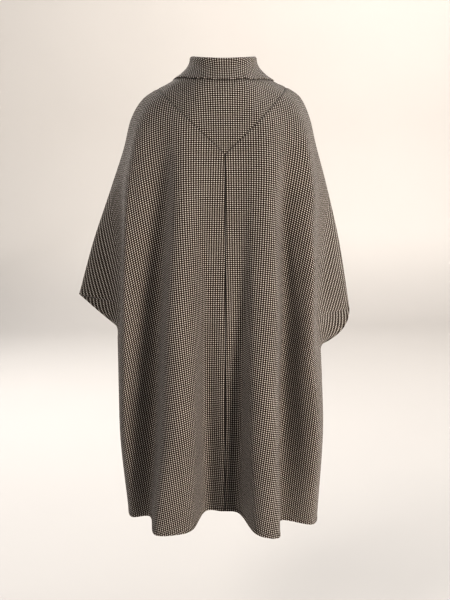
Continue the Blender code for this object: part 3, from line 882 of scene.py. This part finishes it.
def wool_check():
    """The coat's cloth: dogtooth twill with a short nap, and painted shade in its seams."""
    made = bpy.data.materials.new("wool_check")
    made.use_nodes = True
    shader = made.node_tree.nodes["Principled BSDF"]
    start = Strand(made.node_tree)
    cut = start.node("ShaderNodeUVMap", {"uv_map": "weave"}, {})
    nap = noise(start, cut, NAP_SCALE, NAP_DETAIL)
    cloud = noise(start, cut, CLOUD_SCALE, CLOUD_DETAIL)
    u = start.node("ShaderNodeSeparateXYZ", {}, {0: cut}, 0)
    v = start.node("ShaderNodeSeparateXYZ", {}, {0: cut}, 1)
    across = u * (THREADS / CHECK_WIDE) + (nap - 0.5) * NAP_WANDER
    along = v * (THREADS / CHECK_HIGH) + (nap - 0.5) * NAP_WANDER
    warp = across.sum("FLOOR", across)
    weft = along.sum("FLOOR", along)
    warp_dark = (warp % THREADS) < DARK_THREADS
    weft_dark = (weft % THREADS) < DARK_THREADS
    all_light = (1.0 - warp_dark) * (1.0 - weft_dark)
    warp_over = ((warp + weft) % (2.0 * TWILL)) < TWILL
    dark = warp_over * warp_dark + (1.0 - warp_over) * weft_dark
    colour = blend(start, all_light, blend(start, dark, MIXED_WOOL, DARK_WOOL), LIGHT_WOOL)
    # The sheets' painted seam shade darkens the colour, on top of its random tone from cloud and
    # nap.
    painted_seam_shade = start.node("ShaderNodeAttribute", {"attribute_name": "painted_seam_shade"}, {}, 2)
    shade = (SHADE + cloud * CLOUD_SHADE + nap * NAP_SHADE) * (1.0 - painted_seam_shade)
    colour = start.node("ShaderNodeVectorMath", {"operation": "SCALE"}, {0: colour, 3: shade})
    rounds = warp_over * thread_round(across) + (1.0 - warp_over) * thread_round(along)
    bump = start.node("ShaderNodeBump", {}, {"Strength": BUMP_STRENGTH, "Distance": BUMP_DEPTH,
                                             "Height": rounds + nap * NAP_HEIGHT})
    links = made.node_tree.links
    links.new(colour.socket, shader.inputs["Base Color"])
    links.new((WOOL_ROUGH + nap * NAP_ROUGH).socket, shader.inputs["Roughness"])
    links.new(bump.socket, shader.inputs["Normal"])
    shader.inputs["Sheen Weight"].default_value = SHEEN
    shader.inputs["Sheen Roughness"].default_value = SHEEN_ROUGH
    shader.inputs["Specular IOR Level"].default_value = SHINE
    return made


WOOL = wool_check()
print("wool with", len(WOOL.node_tree.nodes), "nodes")

# %% [markdown]
# The sewing thread is a twisted wool or silk in the check's darker tones. One colour would look
# printed, so a fine noise mixes a dark and a lighter tone along it. It reads Object coordinates,
# because the stitches have no cut of their own.

# %% Spin the thread
THREAD_DARK, THREAD_LIGHT = (0.026, 0.021, 0.017, 1.0), (0.110, 0.092, 0.078, 1.0)
TWIST_SCALE, TWIST_DETAIL = 900.0, 1.0
THREAD_ROUGH, TWIST_ROUGH = 0.55, 0.3


def dark_thread():
    """The sewing thread: dark, twisted, and a little uneven."""
    made = bpy.data.materials.new("dark_thread")
    made.use_nodes = True
    shader = made.node_tree.nodes["Principled BSDF"]
    start = Strand(made.node_tree)
    place = start.node("ShaderNodeTexCoord", {}, {}, 3)
    twist = noise(start, place, TWIST_SCALE, TWIST_DETAIL)
    links = made.node_tree.links
    links.new(blend(start, twist, THREAD_DARK, THREAD_LIGHT).socket, shader.inputs["Base Color"])
    links.new((THREAD_ROUGH + twist * TWIST_ROUGH).socket, shader.inputs["Roughness"])
    return made


THREAD = dark_thread()
STITCHES.data.materials.clear()
STITCHES.data.materials.append(THREAD)
print("thread with", len(THREAD.node_tree.nodes), "nodes")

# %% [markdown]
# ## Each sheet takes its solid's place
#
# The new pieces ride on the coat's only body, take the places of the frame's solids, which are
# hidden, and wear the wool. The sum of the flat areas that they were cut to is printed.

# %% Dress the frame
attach(STITCHES, "root")
for node, piece in PIECES.items():
    piece.data.materials.clear()
    piece.data.materials.append(WOOL)
    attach(piece, "root")
    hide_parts(node)
cloth_area = sum(cut[2] for cut in CUT.values())
print(len(PIECES), "sheets of cloth,", round(cloth_area, 2), "square metres")

# %% [markdown]
# ## The studio
#
# A plain pale floor that sweeps up into a wall, as in a photographer's studio, a pale sky and large
# soft lamps. The strongest lamp stands low to the right of the camera, so that the flutes are lit
# from their right, and a weaker one high on the left keeps their shade soft. One more lights the
# right side, one the front, and one the wall.

# %% Floor and lamps
FLOOR_Z = -1.50
FLOOR_WIDTH, FLOOR_NEAR, FLOOR_FAR = 12.0, 5.0, -3.4
SWEEP_RADIUS, SWEEP_STEPS, WALL_TOP = 1.2, 16, 2.6
# The floor's paint is darker than the wall's: painted shade that offsets the stronger light on the
# floor, so floor and wall look alike.
FLOOR_PAINT, WALL_PAINT = (0.430, 0.415, 0.402, 1.0), (0.520, 0.500, 0.480, 1.0)
PAINT_RISE, RISE_SHARE, CLOUD_SHARE = 0.4, 0.8, 0.2
PAINT_CLOUD, PAINT_DETAIL, PAINT_ROUGH = 1.5, 2.0, 0.9
SKY, SKY_STRENGTH = (0.91, 0.955, 1.0, 1.0), 0.38
COAT = (0.0, 0.0, -0.5)
LAMPS = (
    ("key", (-3.09, 3.68, -0.85), COAT, 1.25, 214.0, (1.0, 0.93, 0.86)),
    ("fill", (2.12, 1.78, 1.10), COAT, 1.3, 46.0, (1.0, 0.94, 0.88)),
    ("side", (-2.76, -0.24, 1.10), COAT, 1.3, 32.0, (1.0, 0.98, 0.95)),
    ("front", (1.6, -2.6, 1.0), COAT, 1.4, 60.0, (1.0, 0.98, 0.96)),
    ("wall", (-1.8, -1.6, 2.4), (-1.4, -4.6, -0.4), 2.4, 82.0, (1.0, 0.93, 0.86)),
)


def pale_floor():
    """A floor that sweeps up into a wall, so that no edge shows behind the coat."""
    turn = np.linspace(0.0, math.pi / 2, SWEEP_STEPS + 1)
    back = np.concatenate(([FLOOR_NEAR], FLOOR_FAR - SWEEP_RADIUS * np.sin(turn)))
    high = np.concatenate(([0.0], SWEEP_RADIUS * (1.0 - np.cos(turn))))
    back, high = np.append(back, back[-1]), np.append(high, WALL_TOP - FLOOR_Z)
    profile = np.stack((back, FLOOR_Z + high), axis=1)
    half = FLOOR_WIDTH / 2
    points = np.array([[(x, y, z) for x in (half, -half)] for y, z in profile])
    floor = lay_grid("floor", points)
    bpy.ops.object.shade_smooth()
    made = bpy.data.materials.new("floor_paint")
    made.use_nodes = True
    start = Strand(made.node_tree)
    place = start.node("ShaderNodeTexCoord", {}, {}, 3)
    cloud = noise(start, place, PAINT_CLOUD, PAINT_DETAIL)
    height = start.node("ShaderNodeSeparateXYZ", {}, {0: place}, 2)
    # From the floor's darker paint up to the wall's paler one; the floor's darker tone is painted
    # shade against its stronger light.
    rise = start.node("ShaderNodeMapRange", {"interpolation_type": "SMOOTHSTEP"},
                      {0: height, 1: FLOOR_Z, 2: FLOOR_Z + PAINT_RISE * SWEEP_RADIUS})
    paint = blend(start, rise * RISE_SHARE + cloud * CLOUD_SHARE, FLOOR_PAINT, WALL_PAINT)
    shader = made.node_tree.nodes["Principled BSDF"]
    made.node_tree.links.new(paint.socket, shader.inputs["Base Color"])
    shader.inputs["Roughness"].default_value = PAINT_ROUGH
    floor.data.materials.append(made)


def lamp(name, place, aim, size, watts, colour):
    """A square soft lamp that looks at a place."""
    bpy.ops.object.light_add(type="AREA", location=place)
    made = bpy.context.object
    made.name = name
    made.data.size = size
    made.data.energy = watts
    made.data.color = colour
    made.rotation_euler = (Vector(aim) - Vector(place)).to_track_quat("-Z", "Y").to_euler()


pale_floor()
for row in LAMPS:
    lamp(*row)
sky = bpy.data.worlds.new("pale sky")
sky.use_nodes = True
sky.node_tree.nodes["Background"].inputs["Color"].default_value = SKY
sky.node_tree.nodes["Background"].inputs["Strength"].default_value = SKY_STRENGTH
bpy.context.scene.world = sky
bpy.context.scene.view_settings.view_transform = "Standard"
bpy.context.scene.view_settings.look = "Very High Contrast"
print("floor at", FLOOR_Z, "with", len(LAMPS), "lamps")

# %% [markdown]
# ## The camera
#
# The photograph looks at the back from just beside its middle and a little from above, so the
# camera stands level with the neck and tilts down. Its angle and its distance were found from how
# the hem, the shoulders and the collar line up. A small shift sets the frame, without a turn.

# %% The photograph's camera
CAMERA_TURN, CAMERA_PITCH, CAMERA_REACH = math.radians(176.0), math.radians(13.0), 2.3
FOCAL_PIXELS, IMAGE_HEIGHT, SENSOR = 961.0, 600.0, 36.0
AXIS_OFFSET_PIXELS = 4.0
bpy.ops.object.camera_add(location=(CAMERA_REACH * math.sin(CAMERA_TURN),
                                    -CAMERA_REACH * math.cos(CAMERA_TURN), 0.0))
camera = bpy.context.object
camera.rotation_euler = (math.pi / 2 - CAMERA_PITCH, 0.0, CAMERA_TURN)
camera.data.sensor_width = SENSOR
camera.data.lens = FOCAL_PIXELS / IMAGE_HEIGHT * SENSOR
camera.data.shift_x = AXIS_OFFSET_PIXELS / IMAGE_HEIGHT
bpy.context.scene.camera = camera
print("lens", round(camera.data.lens, 1), "mm")
